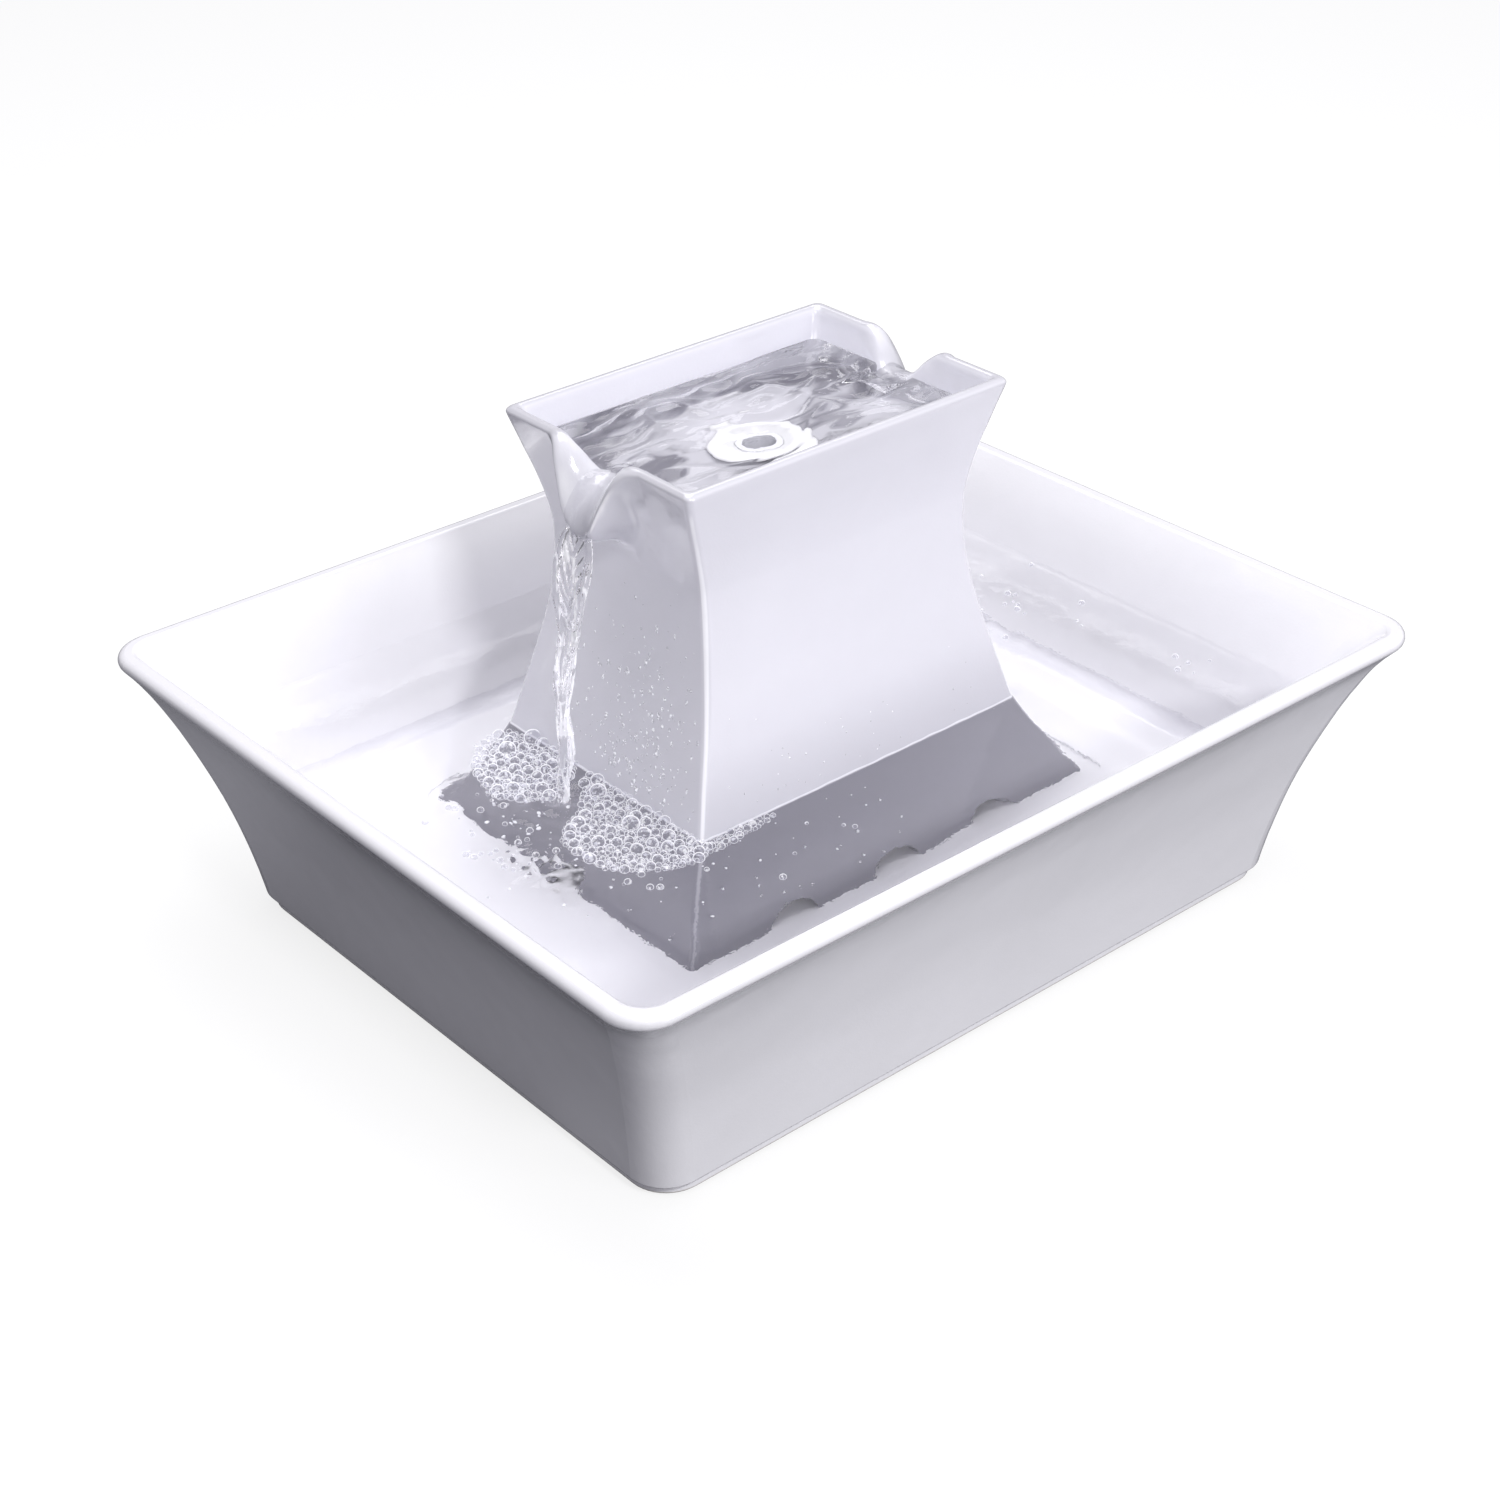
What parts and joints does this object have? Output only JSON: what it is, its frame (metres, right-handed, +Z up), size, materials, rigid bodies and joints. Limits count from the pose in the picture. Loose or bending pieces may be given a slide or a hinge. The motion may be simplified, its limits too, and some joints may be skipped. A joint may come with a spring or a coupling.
{
  "type": "pet water fountain",
  "caption": "Flared rectangular ceramic dish with a waisted hollow tower whose top basin spills over a pouring lip at each end, with a submersible pump and filters inside.",
  "frame": {"origin": "centre of the underside, on the plane the foot pads stand on", "axes": "+Z up, +X along the long side of the dish (the tower's pouring lips face -X and +X), +Y along the short side"},
  "size_m": [0.2968, 0.253, 0.165],
  "materials": {
    "dish": "gloss",
    "foot_pads": "matte",
    "tower": "gloss",
    "outlet_collar": "satin",
    "riser_tube": "satin",
    "pump_body": "satin",
    "potting_block": "gloss",
    "stator_core": "satin",
    "coil_bobbin": "satin",
    "coil_winding": "gloss",
    "volute": "satin",
    "volute_seal": "matte",
    "impeller_shaft": "polished",
    "rear_bush": "matte",
    "front_bush": "matte",
    "intake_cover": "satin",
    "suction_cups": "satin",
    "cable_gland": "matte",
    "filter_box": "satin",
    "rotor_magnet": "satin",
    "impeller": "satin",
    "flow_regulator": "satin",
    "foam_filter": "matte",
    "carbon_frame": "satin",
    "carbon_screens": "matte",
    "carbon_granules": "matte"
  },
  "bodies": {
    "dish": {"dish": "dish", "foot_pads": "foot_pads"},
    "tower": {"tower": "tower", "outlet_collar": "outlet_collar", "riser_tube": "riser_tube"},
    "pump": {"pump_body": "pump_body", "potting_block": "potting_block", "stator_core": "stator_core", "coil_bobbin": "coil_bobbin", "coil_winding": "coil_winding", "volute": "volute", "volute_seal": "volute_seal", "impeller_shaft": "impeller_shaft", "rear_bush": "rear_bush", "front_bush": "front_bush", "intake_cover": "intake_cover", "suction_cups": "suction_cups", "cable_gland": "cable_gland", "filter_box": "filter_box"},
    "rotor": {"rotor_magnet": "rotor_magnet", "impeller": "impeller"},
    "flow_regulator": {"flow_regulator": "flow_regulator"},
    "foam_filter": {"foam_filter": "foam_filter"},
    "carbon_cassette": {"carbon_frame": "carbon_frame", "carbon_screens": "carbon_screens", "carbon_granules": "carbon_granules"}
  },
  "joints": [
    {"name": "pump_lift", "type": "slide", "parent": "dish", "child": "pump", "axis": [0, 0, 1], "range_m": [0, 0.1]},
    {"name": "tower_lift", "type": "slide", "parent": "pump", "child": "tower", "axis": [0, 0, 1], "range_m": [0, 0.12]},
    {"name": "rotor_spin", "type": "hinge", "parent": "pump", "child": "rotor", "pos_m": [0, 0, 0.034], "axis": [1, 0, 0], "continuous": true},
    {"name": "regulator_turn", "type": "hinge", "parent": "pump", "child": "flow_regulator", "pos_m": [-0.0131, 0, 0.034], "axis": [-1, 0, 0], "range_deg": [0, 22.5]},
    {"name": "foam_lift", "type": "slide", "parent": "pump", "child": "foam_filter", "axis": [0, 0, 1], "range_m": [0, 0.034]},
    {"name": "carbon_lift", "type": "slide", "parent": "pump", "child": "carbon_cassette", "axis": [0, 0, 1], "range_m": [0, 0.034]}
  ]
}
